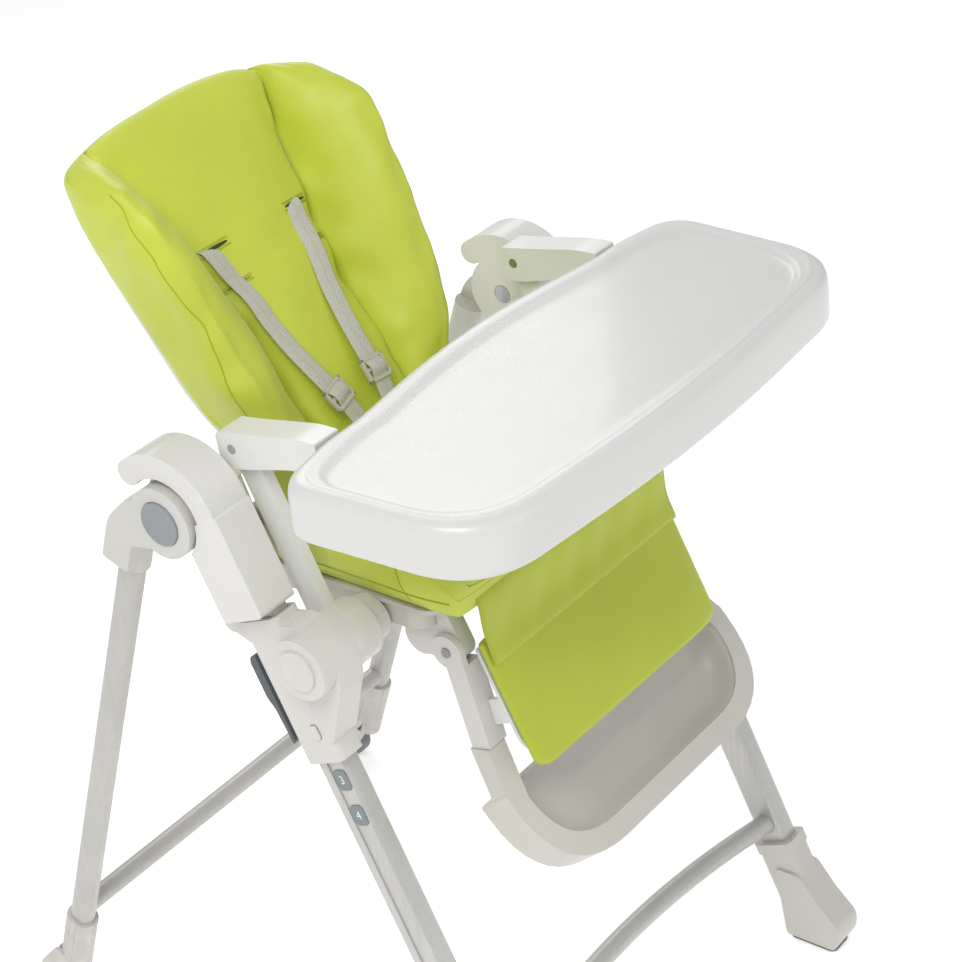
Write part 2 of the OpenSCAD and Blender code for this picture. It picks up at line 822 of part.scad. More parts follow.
// The footrest's outline, stepped in from its edge.
function footrest_outline(inset) =
    let (half = footrest_w / 2 - inset, low = tub_low + inset, r = tub_r - inset)
    rounded([[-half, -40], [half, -40], [half, low], [-half, low]], [4, 4, r, r], 10);

module footrest_slab(back, t) {
    translate([0, back, 0]) rotate([90, 0, 0]) linear_extrude(t) children();
}

module footrest() {
    half = footrest_w / 2;
    back_t = 4;
    bar = 9.5;
    color("antiquewhite") {
        difference() {
            footrest_axis() {
                footrest_slab(tub_deep, tub_deep) difference() {
                    polygon(footrest_outline(0));
                    polygon(footrest_outline(rim_w));
                }
                footrest_slab(tub_deep, back_t) polygon(footrest_outline(rim_w / 2));
                footrest_slab(rim_deep, rim_deep) for (s = [-1, 1])
                    polygon([[s * (knee_x - sleeve_half), 13], [s * (knee_x + sleeve_half), 13],
                        [s * half, -46], [s * (half - rim_w), -56]]);
            }
            knee_axis(sleeve_rake) block([-300, -60, sleeve_end - gap], [300, 60, 0]);
        }
        both_sides() knee_axis(sleeve_rake)
            block([-knee_x - bar, sleeve_front + 3.5, sleeve_end - 6],
                [-knee_x + bar, sleeve_back - 3.5, -32]);
    }
}

// ---- assembly -----------------------------------------------------------------------

front_leg("right");  // front_leg_right
front_leg("left");  // front_leg_left
leg_head("right");  // leg_head_right
leg_head("left");  // leg_head_left
front_crossbar();
front_foot("right");  // front_foot_right
front_foot("left");  // front_foot_left
front_foot_pads();
hub_axles();
foot_screws();
height_badges();
rear_leg("right");  // rear_leg_right
rear_leg("left");  // rear_leg_left
rear_hub("right");  // rear_hub_right
rear_hub("left");  // rear_hub_left
rear_crossbar();
rear_foot("right");  // rear_foot_right
rear_foot("left");  // rear_foot_left
wheel_axles();
hub_button("right");  // hub_button_right
hub_button("left");  // hub_button_left
rear_wheel("right");  // rear_wheel_right
rear_wheel("left");  // rear_wheel_left
slider("right");  // slider_right
slider("left");  // slider_left
slider_barrel("right");  // slider_barrel_right
slider_barrel("left");  // slider_barrel_left
seat_base();
carriage_tube();
seat_cushion();
seat_wings();
arm_struts();
knee_brackets();
backrest_hinge_pin();
recline_quadrants();
carriage_pivots();
waist_straps();
harness_buckle();
height_lever("right");  // height_lever_right
height_lever("left");  // height_lever_left
lock_button("right");  // lock_button_right
lock_button("left");  // lock_button_left
armrest("right");  // armrest_right
armrest("left");  // armrest_left
tray();
tray_latch();
tray_cover();
backrest_shell();
backrest_pad();
backrest_wings();
shoulder_straps();
strap_adjusters();
recline_handle();
legrest_arms();
legrest_panel();
legrest_pad();
legrest_button("right");  // legrest_button_right
legrest_button("left");  // legrest_button_left
footrest();
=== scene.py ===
"""Looks of the folding baby high chair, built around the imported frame. Metres, row frame.

The chair faces -Y; -X is the seated child's right-hand side. The back rest has its own
local frame (x, n, s): n points backwards through the shell and s runs up along it.
"""

import math

import bpy
import bmesh
from mathutils import Matrix, Vector, noise
from mathutils.bvhtree import BVHTree


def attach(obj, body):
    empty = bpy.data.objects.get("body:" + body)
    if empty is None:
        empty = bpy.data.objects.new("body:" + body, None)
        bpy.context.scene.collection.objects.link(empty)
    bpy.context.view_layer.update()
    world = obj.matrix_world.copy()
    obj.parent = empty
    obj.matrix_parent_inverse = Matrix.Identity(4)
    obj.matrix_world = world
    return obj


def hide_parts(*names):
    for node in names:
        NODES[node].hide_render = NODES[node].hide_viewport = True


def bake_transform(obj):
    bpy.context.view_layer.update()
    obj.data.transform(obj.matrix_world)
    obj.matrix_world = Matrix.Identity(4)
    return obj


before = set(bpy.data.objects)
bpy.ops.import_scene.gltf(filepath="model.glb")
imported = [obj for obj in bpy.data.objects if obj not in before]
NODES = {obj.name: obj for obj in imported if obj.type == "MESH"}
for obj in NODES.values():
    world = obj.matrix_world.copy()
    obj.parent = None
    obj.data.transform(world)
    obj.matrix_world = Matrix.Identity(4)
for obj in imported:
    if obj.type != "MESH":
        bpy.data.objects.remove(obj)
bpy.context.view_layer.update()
SIDES = (("right", -1), ("left", 1))
MM = 0.001

# ---- camera, light and floor -----------------------------------------------------------


def make_camera():
    az, el, roll = (math.radians(a) for a in (-50.169, 30.026, -5.936))
    back = Vector((math.sin(az) * math.cos(el), -math.cos(az) * math.cos(el), math.sin(el)))
    right = Vector((math.cos(az), math.sin(az), 0))
    up = back.cross(right)
    right2 = right * math.cos(roll) + up * math.sin(roll)
    up2 = up * math.cos(roll) - right * math.sin(roll)
    turn = Matrix((right2, up2, back)).transposed().to_4x4()
    data = bpy.data.cameras.new("camera")
    data.sensor_width, data.sensor_fit, data.lens = 36, "HORIZONTAL", 91.584
    data.clip_end = 50
    cam = bpy.data.objects.new("camera", data)
    cam.matrix_world = Matrix.Translation((-1.5862, -1.4586, 1.8565)) @ turn
    bpy.context.collection.objects.link(cam)
    bpy.context.scene.camera = cam


def area_light(name, place, target, size, power, color=(1, 1, 1)):
    data = bpy.data.lights.new(name, "AREA")
    data.shape, data.size, data.energy, data.color = "DISK", size, power, color
    lamp = bpy.data.objects.new(name, data)
    lamp.location = place
    aim = Vector(target) - Vector(place)
    lamp.rotation_euler = aim.to_track_quat("-Z", "Y").to_euler()
    bpy.context.collection.objects.link(lamp)


def make_studio():
    world = bpy.data.worlds.new("studio")
    world.use_nodes = True
    world.node_tree.nodes["Background"].inputs[0].default_value = (1, 1, 1, 1)
    world.node_tree.nodes["Background"].inputs[1].default_value = 0.5
    bpy.context.scene.world = world
    bpy.context.scene.view_settings.view_transform = "Standard"
    area_light("key", (-1.6, -0.6, 2.8), (0, 0, 0.6), 1.6, 38, (1, 0.99, 0.97))
    area_light("fill", (0.6, -2.8, 1.7), (0, 0, 0.6), 2.2, 10, (0.97, 0.98, 1))
    area_light("rim", (1.8, 2.0, 2.2), (0, 0, 0.7), 1.6, 18)
    bpy.ops.mesh.primitive_plane_add(size=30)
    floor = bpy.context.object
    floor.name = "floor"
    paper = plastic("floor_paper", (248, 248, 247), 0.7, grain=0.02, vary=0.004)
    paper.node_tree.nodes["Principled BSDF"].inputs["Emission Color"].default_value = (1, 1, 1, 1)
    paper.node_tree.nodes["Principled BSDF"].inputs["Emission Strength"].default_value = 0.42
    floor.data.materials.append(paper)


# ---- materials --------------------------------------------------------------------------


def lin(color):
    """sRGB 0-255 to the linear colour a shader socket takes."""
    return tuple((c / 12.92 if c <= 0.04 else ((c + 0.055) / 1.055) ** 2.4)
                 for c in (v / 255 for v in color)) + (1.0,)


def tone(color, k):
    return tuple(min(255, max(0, v * k)) for v in color)


class Shader:
    """A Principled material and short ways to wire it."""

    def __init__(self, name, **sockets):
        self.mat = bpy.data.materials.new(name)
        self.mat.use_nodes = True
        self.tree = self.mat.node_tree
        self.bsdf = self.tree.nodes["Principled BSDF"]
        for key, value in sockets.items():
            self.bsdf.inputs[key.replace("_", " ")].default_value = value

    def node(self, kind, inputs=(), **settings):
        n = self.tree.nodes.new(kind)
        for key, value in settings.items():
            setattr(n, key, value)
        for key, value in dict(inputs).items():
            if isinstance(value, bpy.types.NodeSocket):
                self.tree.links.new(value, n.inputs[key])
            else:
                n.inputs[key].default_value = value
        return n

    def place(self, scale=(1, 1, 1), turn=(0, 0, 0), kind="Object"):
        where = self.node("ShaderNodeTexCoord").outputs[kind]
        m = self.node("ShaderNodeMapping", {"Vector": where, "Scale": scale, "Rotation": turn})
        return m.outputs["Vector"]

    def noise(self, where, scale, detail=3, rough=0.5):
        return self.node("ShaderNodeTexNoise", {"Vector": where, "Scale": scale, "Detail": detail,
                                                "Roughness": rough}).outputs["Fac"]

    def math(self, operation, a, b=0.0):
        return self.node("ShaderNodeMath", {0: a, 1: b}, operation=operation).outputs[0]

    def ramp(self, factor, stops):
        n = self.node("ShaderNodeValToRGB", {"Fac": factor})
        while len(n.color_ramp.elements) < len(stops):
            n.color_ramp.elements.new(0.5)
        for e, (at, color) in zip(n.color_ramp.elements, stops):
            e.position, e.color = at, color
        return n.outputs["Color"]

    def mix(self, factor, a, b, blend="MIX"):
        n = self.node("ShaderNodeMix", data_type="RGBA", blend_type=blend)
        for index, value in ((0, factor), (6, a), (7, b)):
            if isinstance(value, bpy.types.NodeSocket):
                self.tree.links.new(value, n.inputs[index])
            else:
                n.inputs[index].default_value = value
        return n.outputs[2]

    def spread(self, factor, low, high, from_low=0.35, from_high=0.65):
        return self.node("ShaderNodeMapRange", {0: factor, 1: from_low, 2: from_high, 3: low,
                                                4: high}).outputs[0]

    def bump(self, height, strength, distance, below=None):
        ins = {"Height": height, "Strength": strength, "Distance": distance}
        if below is not None:
            ins["Normal"] = below
        return self.node("ShaderNodeBump", ins).outputs["Normal"]

    def to(self, socket, value):
        self.tree.links.new(value, self.bsdf.inputs[socket])


def plastic(name, color, rough, grain=0.1, vary=0.02, metallic=0.0, coat=0.0, wear=0.0,
            sink=0.05, smudge=1.0):
    """Moulded plastic: cloudy colour, a fine spark-eroded grain and smudged gloss.

    wear lightens the edges, sink is the depth of the mould's slow waves and smudge the
    unevenness of the gloss.
    """
    s = Shader(name, Metallic=metallic, Coat_Weight=coat, Coat_Roughness=0.12)
    here = s.place()
    cloud = s.noise(here, 7, 3)
    base = s.ramp(cloud, [(0.3, lin(tone(color, 1 - vary))), (0.7, lin(tone(color, 1 + vary / 2)))])
    if wear:
        edge = s.node("ShaderNodeNewGeometry").outputs["Pointiness"]
        patches = s.spread(s.noise(here, 60, 4), 0, wear, 0.45, 0.7)
        scuff = s.math("MULTIPLY", s.spread(edge, 0, 1, 0.52, 0.62), patches)
        base = s.mix(scuff, base, lin(tone(color, 1.12)))
    s.to("Base Color", base)
    s.to("Roughness", s.spread(s.noise(here, 38, 5, 0.6), rough - 0.05 * smudge, rough + 0.08 * smudge))
    fine = s.bump(s.noise(here, 1500, 2), grain, 0.0003)
    s.to("Normal", s.bump(s.noise(here, 16, 2), sink, 0.002, fine))
    return s.mat


def leather(name, color, dark, deep=1.0):
    """Wipe-clean upholstery: pebbled grain, soft creasing and painted shade that darkens the hollows."""
    s = Shader(name, Coat_Weight=0.06, Coat_Roughness=0.35, Sheen_Weight=0.12, Sheen_Roughness=0.5)
    here = s.place()
    cloud = s.noise(here, 4.5, 4, 0.55)
    base = s.ramp(cloud, [(0.3, lin(tone(color, 0.955))), (0.7, lin(tone(color, 1.02)))])
    # Painted shade: concave spots, found by pointiness, blend towards the darker colour dark.
    hollow = s.node("ShaderNodeNewGeometry").outputs["Pointiness"]
    base = s.mix(s.spread(hollow, 0.9, 0.0, 0.40, 0.493), base, lin(dark))
    cells = s.node("ShaderNodeTexVoronoi", {"Vector": here, "Scale": 620.0, "Randomness": 0.9},
                   feature="DISTANCE_TO_EDGE").outputs["Distance"]
    grain = s.spread(cells, 0, 1, 0.0, 0.28)
    s.to("Base Color", s.mix(s.spread(grain, 0.22, 0.0, 0.0, 0.5), base, lin(tone(color, 0.86))))
    s.to("Roughness", s.spread(s.noise(here, 30, 5, 0.6), 0.43, 0.56))
    fine = s.bump(grain, 0.16 * deep, 0.0004)
    crease = s.noise(s.place((1, 1, 0.55)), 55, 5, 0.62)
    s.to("Normal", s.bump(crease, 0.10 * deep, 0.004, fine))
    return s.mat


def webbing(name, color):
    """Ribbed tape. U runs across the tape and V along it in metres."""
    s = Shader(name, Sheen_Weight=0.3, Sheen_Roughness=0.4)
    uv = s.node("ShaderNodeSeparateXYZ", {0: s.place(kind="UV")})
    ribs = s.math("SINE", s.math("MULTIPLY", uv.outputs[0], math.tau * 9))
    picks = s.math("SINE", s.math("MULTIPLY", uv.outputs[1], math.tau / 0.0016))
    weave = s.math("ADD", s.math("MULTIPLY", ribs, 0.6), s.math("MULTIPLY", picks, 0.4))
    cloud = s.noise(s.place(), 240, 3)
    tint = s.mix(s.spread(weave, 0.35, 0.0, -0.9, 0.6), lin(color), lin(tone(color, 0.72)))
    middle = s.math("ABSOLUTE", s.math("SUBTRACT", uv.outputs[0], 0.5))
    tint = s.mix(s.spread(middle, 0.25, 0.0, 0.012, 0.03), tint, lin(tone(color, 0.6)))
    s.to("Base Color", s.mix(s.spread(cloud, 0, 0.18, 0.4, 0.7), tint, lin(tone(color, 0.85))))
    s.to("Roughness", s.spread(cloud, 0.6, 0.8))
    s.to("Normal", s.bump(weave, 0.6, 0.0005))
    return s.mat


def metal(name, color, metallic, rough, lean=0.0, streak=0.1):
    """Anodised or lacquered tube with faint drawing lines along it."""
    s = Shader(name, Metallic=metallic, Coat_Weight=0.15, Coat_Roughness=0.25)
    along = s.place((340, 340, 5), (lean, 0, 0))
    lines = s.noise(along, 1.0, 3)
    here = s.place()
    cloud = s.noise(here, 11, 3)
    base = s.ramp(cloud, [(0.3, lin(tone(color, 0.965))), (0.7, lin(tone(color, 1.015)))])
    s.to("Base Color", s.mix(s.spread(lines, 0.0, 0.25), base, lin(tone(color, 0.9))))
    s.to("Roughness", s.spread(lines, rough - 0.06, rough + 0.08))
    s.to("Normal", s.bump(lines, streak, 0.0003))
    return s.mat


def clear(name):
    """Thin clear plastic sheet, a little hazy, with faint handling marks."""
    s = Shader(name, IOR=1.47, Alpha=0.12)
    here = s.place()
    s.to("Base Color", s.ramp(s.noise(here, 6, 2), [(0.3, (0.93, 0.95, 0.95, 1)), (0.7, (1, 1, 1, 1))]))
    s.to("Roughness", s.spread(s.noise(here, 24, 5), 0.06, 0.18))
    s.to("Normal", s.bump(s.noise(here, 14, 2), 0.015, 0.002))
    return s.mat


LIME = (199, 210, 66)
M = {
    "white": plastic("white_moulding", (224, 224, 222), 0.32, grain=0.05, coat=0.2, vary=0.01,
                     sink=0.015, smudge=0.4),
    "tray": plastic("tray_white", (215, 215, 214), 0.3, grain=0.03, coat=0.25, vary=0.006,
                    sink=0.012, smudge=0.3),
    "head": plastic("head_white", (219, 218, 215), 0.34, grain=0.07, coat=0.15, wear=0.2),
    "grey": plastic("grey_moulding", (213, 211, 207), 0.42, grain=0.14, wear=0.25),
    "hub": plastic("hub_grey", (205, 204, 199), 0.38, grain=0.12, wear=0.2),
    "foot": plastic("foot_grey", (200, 197, 192), 0.5, grain=0.2, wear=0.3),
    "beige": plastic("basin_beige", (205, 203, 195), 0.36, grain=0.12, coat=0.1),
    "pan": plastic("pan_beige", (200, 198, 188), 0.45, grain=0.16),
    "dark": plastic("dark_moulding", (86, 90, 96), 0.5, grain=0.25, wear=0.3),
    "wheel": plastic("wheel_grey", (120, 121, 122), 0.5, grain=0.2, wear=0.3),
    "blue": plastic("button_blue_grey", (141, 146, 151), 0.38, grain=0.16, coat=0.1),
    "badge": plastic("badge_grey", (128, 138, 138), 0.45, grain=0.1),
    "digit": plastic("digit_white", (232, 234, 233), 0.5, grain=0.05),
    "rubber": plastic("foot_rubber", (104, 105, 106), 0.75, grain=0.5, vary=0.05),
    "harness": plastic("harness_grey", (190, 188, 172), 0.36, grain=0.12, coat=0.1),
    # Painted shade: dark olive for the shadowed gaps of the strap slits.
    "slit": plastic("slit_gap_shade", (58, 62, 22), 0.8, grain=0.3),
    "leg": metal("leg_profile", (196, 195, 192), 0.35, 0.36, math.radians(23.1)),
    "tube": metal("painted_tube", (192, 190, 186), 0.12, 0.36, math.radians(-20.5), 0.05),
    "bar": metal("painted_bar", (192, 191, 187), 0.15, 0.36, 0, 0.05),
    "steel": metal("pin_steel", (172, 173, 174), 0.9, 0.3),
    # The last colour passed to leather() is painted shade for the hollows.
    "lime": leather("lime_upholstery", LIME, (122, 134, 22)),
    # Painted shade: the calf pad is the lime upholstery coloured darker throughout, as if in shade; the
    # knee strip uses it too.
    "calf": leather("lime_calf_pad_shaded", (184, 196, 48), (112, 124, 20), 0.8),
    "thread": plastic("seam_thread", (164, 178, 40), 0.8, grain=0.3),
    "tape": webbing("harness_tape", (205, 204, 193)),
    "clear": clear("clear_cover"),
}


# ---- mesh tools -------------------------------------------------------------------------


def add_mesh(name, verts, faces, material, smooth=True):
    mesh = bpy.data.meshes.new(name)
    mesh.from_pydata([tuple(v) for v in verts], [], faces)
    mesh.validate()
    bm = bmesh.new()
    bm.from_mesh(mesh)
    bmesh.ops.recalc_face_normals(bm, faces=bm.faces)
    bm.to_mesh(mesh)
    bm.free()
    for p in mesh.polygons:
        p.use_smooth = smooth
    obj = bpy.data.objects.new(name, mesh)
    mesh.materials.append(material)
    bpy.context.collection.objects.link(obj)
    return obj


def loft(name, rings, material, caps=True):
    """Joins closed rings of equal length into a skin, with a fan at each end."""
    n = len(rings[0])
    verts = [p for ring in rings for p in ring]
    faces = [(r * n + i, r * n + (i + 1) % n, (r + 1) * n + (i + 1) % n, (r + 1) * n + i)
             for r in range(len(rings) - 1) for i in range(n)]
    if caps:
        for r in (0, len(rings) - 1):
            verts.append(sum((Vector(p) for p in rings[r]), Vector()) / n)
            faces += [(r * n + i, r * n + (i + 1) % n, len(verts) - 1) for i in range(n)]
    return add_mesh(name, verts, faces, material)


def spline(points, count):
    """count points spaced evenly by index along a smooth curve through the given points."""
    out, last = [], len(points) - 1
    for k in range(count):
        t = k * last / (count - 1)
        i = min(int(t), last - 1)
        f = t - i
        p = [points[min(max(j, 0), last)] for j in (i - 1, i, i + 1, i + 2)]
        out.append(tuple(0.5 * (2 * b + (c - a) * f + (2 * a - 5 * b + 4 * c - d) * f * f
                                + (3 * b - a - 3 * c + d) * f ** 3) for a, b, c, d in zip(*p)))
    return out


def at(keys, s):
    """Value at s on a smooth line through (s, value) keys."""
    keys = sorted(keys)
    if s <= keys[0][0]:
        return keys[0][1]
    for (s0, v0), (s1, v1) in zip(keys, keys[1:]):
        if s <= s1:
            f = (s - s0) / (s1 - s0)
            f = f * f * (3 - 2 * f) * 0.5 + f * 0.5
            return v0 + (v1 - v0) * f
    return keys[-1][1]


def step(a, b, x):
    t = min(1.0, max(0.0, (x - a) / (b - a)))
    return t * t * (3 - 2 * t)


def finish_mesh(obj):
    """One applied subdivision."""
    m = obj.modifiers.new("fine", "SUBSURF")
    m.levels = m.render_levels = 1
    apply_all(obj)


def apply_all(obj):
    deps = bpy.context.evaluated_depsgraph_get()
    baked = bpy.data.meshes.new_from_object(obj.evaluated_get(deps), depsgraph=deps)
    obj.modifiers.clear()
    old = obj.data
    obj.data = baked
    bpy.data.meshes.remove(old)


def inflate(obj, pinned, pressure=3.0, cap=6 * MM, frames=18, stiff=15):
    """Lets the cover swell under its filling; pinned(co) is 0 to 1, and cap limits the move."""
    rest = [v.co.copy() for v in obj.data.vertices]
    group = obj.vertex_groups.new(name="pin")
    for v in obj.data.vertices:
        group.add([v.index], pinned(v.co), "REPLACE")
    cloth = obj.modifiers.new("cloth", "CLOTH")
    st = cloth.settings
    st.quality, st.mass = 5, 0.3
    st.tension_stiffness = st.compression_stiffness = stiff
    st.shear_stiffness, st.bending_stiffness = 5, 0.5
    st.use_pressure, st.uniform_pressure_force = True, pressure
    st.effector_weights.gravity = 0
    st.vertex_group_mass = "pin"
    scene = bpy.context.scene
    for f in range(1, frames + 1):
        scene.frame_set(f)
    deps = bpy.context.evaluated_depsgraph_get()
    moved = [v.co.copy() for v in obj.evaluated_get(deps).data.vertices]
    obj.modifiers.clear()
    obj.vertex_groups.clear()
    shift = [b - a for a, b in zip(rest, moved)]
    shift = [d if d.length <= cap else d * (cap / d.length) for d in shift]
    near = [[] for _ in shift]
    for e in obj.data.edges:
        a, b = e.vertices
        near[a].append(b)
        near[b].append(a)
    for _ in range(4):
        shift = [(d + sum((shift[k] for k in ks), Vector()) / len(ks)) / 2 for d, ks in zip(shift, near)]
    for v, a, d in zip(obj.data.vertices, rest, shift):
        v.co = a + d
    scene.frame_set(1)


def wrinkle(obj, amount, scale, seed, weight=lambda co: 1.0):
    """Pushes the surface along its normals by smooth noise."""
    normals = [v.normal.copy() for v in obj.data.vertices]
    shift = Vector((seed * 3.7, seed * 1.3, seed * 7.1))
    for v, nrm in zip(obj.data.vertices, normals):
        w = weight(v.co)
        if w:
            v.co = v.co + nrm * (amount * w * noise.noise(v.co * scale + shift))


def tube(name, points, radius, material, sides=8, closed=False):
    """A round piping along points."""
    pts = [Vector(p) for p in points]
    rings, n = [], len(pts)
    for i, p in enumerate(pts):
        a = pts[(i - 1) % n] if closed or i else pts[0]
        b = pts[(i + 1) % n] if closed or i < n - 1 else pts[-1]
        d = (b - a).normalized()
        u = d.cross(Vector((0.31, 0.17, 0.93))).normalized()
        w = d.cross(u)
        rings.append([p + (u * math.cos(k * math.tau / sides) + w * math.sin(k * math.tau / sides)) * radius
                      for k in range(sides)])
    if closed:
        rings.append(rings[0])
    return loft(name, rings, material, caps=not closed)


def ribbon(name, points, across, width, thick, material):
    """Flat tape along points; across gives its width direction at each point."""
    pts = [Vector(p) for p in points]
    verts, faces, uvs, run = [], [], [], 0.0
    for i, p in enumerate(pts):
        run += (p - pts[i - 1]).length if i else 0
        d = (pts[min(i + 1, len(pts) - 1)] - pts[max(i - 1, 0)]).normalized()
        x = Vector(across[i]).normalized()
        up = x.cross(d).normalized()
        x = d.cross(up).normalized()
        half = width[i] / 2 if hasattr(width, "__len__") else width / 2
        for k, (fx, fz) in enumerate(((-1, -.25), (-1, .25), (-.9, .5), (0, .55), (.9, .5), (1, .25),
                                      (1, -.25), (.9, -.5), (0, -.5), (-.9, -.5))):
            verts.append(p + x * fx * half + up * fz * thick)
            uvs.append((0.5 + fx / 2, run))
    m = 10
    for i in range(len(pts) - 1):
        faces += [(i * m + k, i * m + (k + 1) % m, (i + 1) * m + (k + 1) % m, (i + 1) * m + k)
                  for k in range(m)]
    faces += [tuple(range(m)), tuple(range((len(pts) - 1) * m, len(pts) * m))]
    obj = add_mesh(name, verts, faces, material)
    layer = obj.data.uv_layers.new(name="tape")
    for loop in obj.data.loops:
        layer.data[loop.index].uv = uvs[loop.vertex_index]
    return obj


def box_mesh(name, low, high, material, bevel=1.0, segments=3, turn=None):
    """A moulded block with rounded edges, in mm."""
    x0, y0, z0, x1, y1, z1 = (v * MM for v in (*low, *high))
    verts = [Vector((x, y, z)) for x in (x0, x1) for y in (y0, y1) for z in (z0, z1)]
    if turn:
        verts = [turn(v) for v in verts]
    faces = [(0, 1, 3, 2), (4, 6, 7, 5), (0, 4, 5, 1), (2, 3, 7, 6), (0, 2, 6, 4), (1, 5, 7, 3)]
    obj = add_mesh(name, verts, faces, material)
    b = obj.modifiers.new("edge", "BEVEL")
    b.width, b.segments = bevel * MM, segments
    obj.modifiers.new("even", "WEIGHTED_NORMAL")
    apply_all(obj)
    return obj


# ---- CAD pieces that stay: rounded edges and materials ----------------------------------


def dress(node, material, edge=0.0, segments=3, angle=32):
    """Gives a CAD node its material and, where edge is set (mm), rounded moulded edges."""
    obj = NODES[node]
    if not obj.material_slots:
        obj.data.materials.append(material)
    for slot in obj.material_slots:
        slot.material = material
    if edge:
        weld = obj.modifiers.new("weld", "WELD")
        weld.merge_threshold = 2e-5
        flat = obj.modifiers.new("flat", "DECIMATE")
        flat.decimate_type, flat.angle_limit = "DISSOLVE", math.radians(0.5)
        b = obj.modifiers.new("edge", "BEVEL")
        b.width, b.segments, b.limit_method = edge * MM, segments, "ANGLE"
        b.angle_limit, b.use_clamp_overlap, b.miter_outer = math.radians(angle), True, "MITER_ARC"
        even = obj.modifiers.new("even", "WEIGHTED_NORMAL")
        even.keep_sharp = False


def dress_frame():
    for side, _ in SIDES:
        dress(f"front_leg_{side}", M["leg"], 0.8, 2)
        dress(f"leg_head_{side}", M["head"], 4.5, 5)
        dress(f"front_foot_{side}", M["foot"], 2.5, 4)
        dress(f"rear_leg_{side}", M["tube"])
        dress(f"rear_hub_{side}", M["hub"], 2.2, 4)
        dress(f"rear_foot_{side}", M["foot"], 1.2, 3)
        dress(f"rear_wheel_{side}", M["wheel"])
        dress(f"hub_button_{side}", M["blue"])
        dress(f"slider_{side}", M["grey"], 2.2, 4)
        dress(f"slider_barrel_{side}", M["grey"], 2.0, 4)
        dress(f"height_lever_{side}", M["dark"], 1.6, 3)
        dress(f"lock_button_{side}", M["grey"], 1.0, 3)
        dress(f"armrest_{side}", M["white"], 2.6, 4)
        dress(f"legrest_button_{side}", M["dark"], 1.0, 3)
    dress("front_crossbar", M["bar"])
    dress("rear_crossbar", M["tube"])
    dress("carriage_tube", M["bar"])
    dress("front_foot_pads", M["rubber"], 1.2, 3)
    dress("seat_base", M["pan"], 1.2, 3)
    dress("arm_struts", M["white"], 1.2, 3)
    dress("knee_brackets", M["grey"], 1.4, 3)
    dress("legrest_arms", M["grey"], 1.4, 3)
    dress("legrest_panel", M["white"], 0.8, 2)
    dress("backrest_shell", M["white"], 1.4, 3)
    dress("recline_handle", M["dark"], 2.4, 4)
    dress("footrest", M["beige"], 2.6, 4)
    dress("tray_latch", M["dark"], 1.2, 3)
    dress("height_badges", M["badge"], 0.3, 2)
    dress("tray", M["tray"], 1.0, 2)
    dress("tray_cover", M["clear"])
    dress("strap_adjusters", M["harness"], 1.0)
    dress("harness_buckle", M["harness"], 2.5, 4)
    for node in ("shoulder_straps", "waist_straps"):
        dress(node, M["tape"])
    for node in ("seat_cushion", "seat_wings", "backrest_pad", "backrest_wings", "legrest_pad"):
        dress(node, M["lime"])
    for node in ("hub_axles", "foot_screws", "wheel_axles", "backrest_hinge_pin", "recline_quadrants",
                 "carriage_pivots"):
        dress(node, M["steel"])


# ---- back rest --------------------------------------------------------------------------

HINGE = Vector((0, 0.050, 0.645))
TILT = math.radians(35)


def back(x, n, s):
    """A point of the back rest's local frame, in mm, placed in the row frame."""
    return HINGE + Vector((x, n * math.cos(TILT) + s * math.sin(TILT),
                           -n * math.sin(TILT) + s * math.cos(TILT))) * MM


def back_local(co):
    d = (co - HINGE) / MM
    return (d.x, d.y * math.cos(TILT) - d.z * math.sin(TILT), d.y * math.sin(TILT) + d.z * math.cos(TILT))


# Half-widths and depths of the back cover against the height s: the seam beside the middle
# pad, the outer ridge of the side wings, and how far forward that ridge stands.
CREASE = [(14, 62), (43, 67), (90, 71), (147, 72), (208, 79), (251, 90), (301, 101), (346, 112),
          (386, 120)]
RIDGE_X = [(14, 112), (60, 132), (112, 146), (221, 156), (302, 160), (345, 157), (375, 149), (390, 144)]
RIDGE_N = [(14, -76), (50, -96), (112, -120), (180, -135), (250, -142), (302, -141), (340, -126),
           (364, -101), (384, -78)]


def back_profile(s):
    """Half of the cover's section at height s, from the front middle round to the back."""
    cr, rx, rn = at(CREASE, s), at(RIDGE_X, s), at(RIDGE_N, s)
    flat = step(340, 382, s)
    base = min(146, rx + 2)
    puff = 4 * math.sin(math.pi * min(1, max(0, (s - 10) / 370)))
    lean = (rx - cr)
    rise = rn + 72
    foot = base - 8 * flat
    pad = [(0, -66 - puff), (cr * 0.45, -66 - puff), (cr * 0.8, -67 - puff * 0.7), (cr - 6, -64)]
    crease = [(cr, -53 - 6 * flat), (cr + 5, -63 - 2 * flat)]
    wing = [(cr + lean * 0.28, -72 + rise * 0.36), (cr + lean * 0.62, -72 + rise * 0.80),
            (rx - 10, rn + 1), (rx - 1, rn - 1), (rx + 6, rn + 7), (rx + 8, rn + 18),
            (rx + 6, (rn + 18) * 0.62 - 20), ((rx + base) / 2 + 2, -42)]
    return pad + crease + wing + [(foot, -32), (foot - 8, -25.5), (foot - 20, -24.2), (60, -24.2),
                                  (0, -24.2)]


